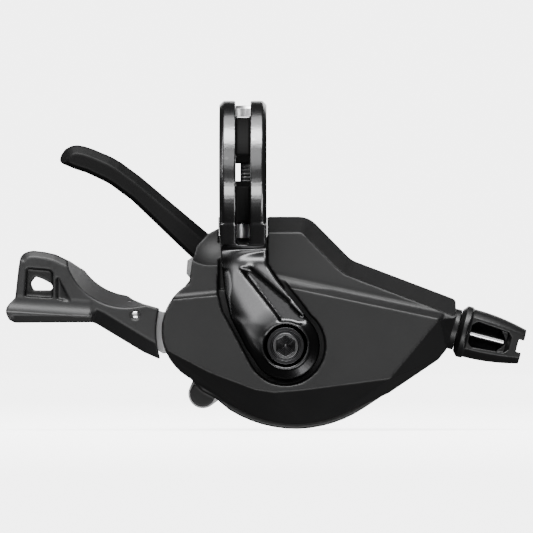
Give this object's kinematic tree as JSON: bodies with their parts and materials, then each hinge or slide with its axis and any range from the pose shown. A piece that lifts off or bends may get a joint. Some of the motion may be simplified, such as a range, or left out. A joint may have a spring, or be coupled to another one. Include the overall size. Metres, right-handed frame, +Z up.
{
  "type": "trigger gear shifter",
  "caption": "Bicycle trigger gear shifter with a handlebar band, two levers, a moulded housing and a cable adjuster.",
  "frame": {"origin": "centre of the handlebar bore, half way along the band's width", "axes": "+X along the handlebar towards the cable adjuster, +Z up, +Y from the front cover to the base cap"},
  "size_m": [0.1103, 0.0355, 0.0697],
  "materials": {
    "band_alloy": "black anodised and polished",
    "bolt_steel": "black zinc",
    "cover_plastic": "matte charcoal",
    "cap_plastic": "matte black",
    "lever_plastic": "satin dark grey",
    "adjuster_plastic": "satin black",
    "drum_plastic": "plain",
    "bush_plastic": "plain",
    "steel": "zinc",
    "spring_steel": "bright",
    "bright_steel": "bright"
  },
  "bodies": {
    "housing": {"clamp_band": "band_alloy", "clamp_bolt": "bolt_steel", "mounting_bolt": "bolt_steel", "front_cover": "cover_plastic", "base_cap": "cap_plastic", "front_plate": "steel", "base_plate": "steel", "main_axle": "steel", "axle_nut": "steel", "spacer_pillars": "steel", "cap_screws": "steel", "drum_bushing": "bush_plastic", "main_lever_spring": "spring_steel", "release_spring": "spring_steel", "position_pawl_pin": "steel", "position_pawl_spring": "spring_steel", "adjuster_neck": "adjuster_plastic", "detent_ring": "spring_steel"},
    "main_lever": {"main_lever_plate": "steel", "main_lever_pad": "lever_plastic", "pad_rivets": "steel", "drive_pawl_pin": "steel", "drive_pawl_spring": "spring_steel"},
    "release_lever": {"release_lever_plate": "steel", "release_lever_pad": "lever_plastic"},
    "drum": {"cable_drum": "drum_plastic", "index_ratchet": "steel", "drive_ratchet": "steel", "drum_spring": "spring_steel"},
    "drive_pawl": {"drive_pawl": "steel"},
    "position_pawl": {"position_pawl": "steel"},
    "adjuster": {"adjuster_knob": "adjuster_plastic"},
    "guide": {"guide_tube": "bright_steel"}
  },
  "joints": [
    {"name": "main_lever_swing", "type": "hinge", "parent": "housing", "child": "main_lever", "pos_m": [0.002, 0.013, -0.034], "axis": [0, 1, 0], "range_deg": [-45, 0], "stiffness_Nm_per_rad": 0.04, "springref_deg": 17.19, "deforming": ["main_lever_spring"]},
    {"name": "release_lever_swing", "type": "hinge", "parent": "housing", "child": "release_lever", "pos_m": [0.002, 0.005, -0.034], "axis": [0, 1, 0], "range_deg": [-10, 5], "stiffness_Nm_per_rad": 0.06, "deforming": ["release_spring"]},
    {"name": "drum_turn", "type": "hinge", "parent": "housing", "child": "drum", "pos_m": [0.002, 0.008, -0.034], "axis": [0, 1, 0], "range_deg": [-120, 0], "stiffness_Nm_per_rad": 0.01, "springref_deg": 28.65, "deforming": ["drum_spring"]},
    {"name": "drive_pawl_swing", "type": "hinge", "parent": "main_lever", "child": "drive_pawl", "pos_m": [-0.0062, 0.0108, -0.02291], "axis": [0, 1, 0], "range_deg": [-16, 0], "stiffness_Nm_per_rad": 0.0005, "deforming": ["drive_pawl_spring"]},
    {"name": "position_pawl_swing", "type": "hinge", "parent": "housing", "child": "position_pawl", "pos_m": [0.01811, 0.0065, -0.03875], "axis": [0, 1, 0], "range_deg": [-9, 0], "stiffness_Nm_per_rad": 0.0005, "deforming": ["position_pawl_spring"]},
    {"name": "adjuster_turn", "type": "hinge", "parent": "housing", "child": "adjuster", "pos_m": [0.04632, 0.00865, -0.03376], "axis": [0.9677, 0, -0.2521], "range_deg": [-720, 720]},
    {"name": "guide_slide", "type": "slide", "parent": "housing", "child": "guide", "axis": [0.9677, 0, -0.2521], "range_m": [-0.00101, 0.00101]}
  ],
  "couplings": [
    {"joint": "guide_slide", "follows": "adjuster_turn", "m_per_rad": 0.000079577}
  ]
}
